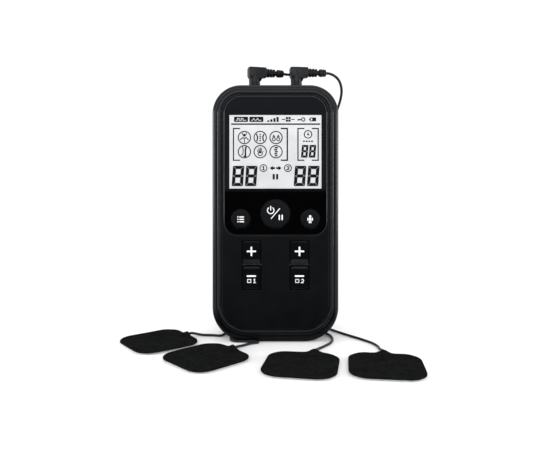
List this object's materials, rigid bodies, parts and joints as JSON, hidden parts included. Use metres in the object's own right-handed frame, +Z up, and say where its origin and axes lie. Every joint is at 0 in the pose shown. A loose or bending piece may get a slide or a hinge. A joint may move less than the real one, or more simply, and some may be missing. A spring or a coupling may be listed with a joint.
{
  "type": "tens unit",
  "caption": "Handheld two-channel nerve stimulator with a display, push keys, plug-in leads and square electrode pads lying in front of it.",
  "frame": {"origin": "middle of the flat bottom end the case stands on, on the floor", "axes": "+Z up along the case, -Y out of the display face, +X to the right as the display is read"},
  "size_m": [0.1501, 0.1395, 0.1465],
  "materials": {
    "case_plastic": "satin black moulded plastic",
    "gloss_panel": "polished black",
    "lcd": "pale reflective display",
    "key_plastic": "soft-touch black",
    "membrane": "matte grey",
    "board": "satin green",
    "component": "matte black",
    "winding": "enamelled winding",
    "steel": "bright plated",
    "cell_jacket": "satin sleeve",
    "plug_rubber": "matte moulded",
    "wire": "satin sleeve",
    "pad_fabric": "fine non-woven cloth",
    "gel": "tacky translucent gel"
  },
  "bodies": {
    "unit": {"front_shell": "case_plastic", "rear_shell": "case_plastic", "display_window": "gloss_panel", "lcd_glass": "lcd", "lcd_backlight": "lcd", "keypad_membrane": "membrane", "circuit_board": "board", "microcontroller": "component", "output_transformer_1": "winding", "output_transformer_2": "winding", "capacitor": "component", "buzzer": "component", "jack_socket_1": "component", "jack_socket_2": "component", "battery_contacts_top": "steel", "battery_contacts_bottom": "steel", "case_screw_1": "steel", "case_screw_2": "steel", "case_screw_3": "steel", "case_screw_4": "steel", "battery_cell_1": "cell_jacket", "battery_cell_2": "cell_jacket", "battery_cell_3": "cell_jacket", "lead_cord_1": "wire", "lead_coil_1": "wire", "lead_splitter_1": "plug_rubber", "branch_wire_1a": "wire", "pad_connector_1a": "plug_rubber", "branch_wire_1b": "wire", "pad_connector_1b": "plug_rubber", "lead_cord_2": "wire", "lead_coil_2": "wire", "lead_splitter_2": "plug_rubber", "branch_wire_2a": "wire", "pad_connector_2a": "plug_rubber", "branch_wire_2b": "wire", "pad_connector_2b": "plug_rubber", "pad_cover_1": "pad_fabric", "pad_gel_1": "gel", "pad_wire_1": "wire", "pad_cover_2": "pad_fabric", "pad_gel_2": "gel", "pad_wire_2": "wire", "pad_cover_3": "pad_fabric", "pad_gel_3": "gel", "pad_wire_3": "wire", "pad_cover_4": "pad_fabric", "pad_gel_4": "gel", "pad_wire_4": "wire"},
    "key_power": {"key_power": "key_plastic"},
    "key_program": {"key_program": "key_plastic"},
    "key_body": {"key_body": "key_plastic"},
    "key_ch1_up": {"key_ch1_up": "key_plastic"},
    "key_ch1_down": {"key_ch1_down": "key_plastic"},
    "key_ch2_up": {"key_ch2_up": "key_plastic"},
    "key_ch2_down": {"key_ch2_down": "key_plastic"},
    "battery_door": {"battery_door": "case_plastic"},
    "lead_plug_1": {"lead_plug_1": "plug_rubber"},
    "lead_plug_2": {"lead_plug_2": "plug_rubber"}
  },
  "joints": [
    {"name": "key_power_press", "type": "slide", "parent": "unit", "child": "key_power", "axis": [0, 1, 0], "range_m": [0, 0.0008], "stiffness_N_per_m": 600, "springref_m": -0.0006},
    {"name": "key_program_press", "type": "slide", "parent": "unit", "child": "key_program", "axis": [0, 1, 0], "range_m": [0, 0.0008], "stiffness_N_per_m": 600, "springref_m": -0.0006},
    {"name": "key_body_press", "type": "slide", "parent": "unit", "child": "key_body", "axis": [0, 1, 0], "range_m": [0, 0.0008], "stiffness_N_per_m": 600, "springref_m": -0.0006},
    {"name": "key_ch1_up_press", "type": "slide", "parent": "unit", "child": "key_ch1_up", "axis": [0, 1, 0], "range_m": [0, 0.0008], "stiffness_N_per_m": 600, "springref_m": -0.0006},
    {"name": "key_ch1_down_press", "type": "slide", "parent": "unit", "child": "key_ch1_down", "axis": [0, 1, 0], "range_m": [0, 0.0008], "stiffness_N_per_m": 600, "springref_m": -0.0006},
    {"name": "key_ch2_up_press", "type": "slide", "parent": "unit", "child": "key_ch2_up", "axis": [0, 1, 0], "range_m": [0, 0.0008], "stiffness_N_per_m": 600, "springref_m": -0.0006},
    {"name": "key_ch2_down_press", "type": "slide", "parent": "unit", "child": "key_ch2_down", "axis": [0, 1, 0], "range_m": [0, 0.0008], "stiffness_N_per_m": 600, "springref_m": -0.0006},
    {"name": "battery_door_hinge", "type": "hinge", "parent": "unit", "child": "battery_door", "pos_m": [0, 0.01135, 0.02115], "axis": [-1, 0, 0], "range_deg": [0, 70]},
    {"name": "lead_plug_1_pull", "type": "slide", "parent": "unit", "child": "lead_plug_1", "axis": [0, 0, 1], "range_m": [0, 0.0125]},
    {"name": "lead_plug_2_pull", "type": "slide", "parent": "unit", "child": "lead_plug_2", "axis": [0, 0, 1], "range_m": [0, 0.0125]}
  ]
}
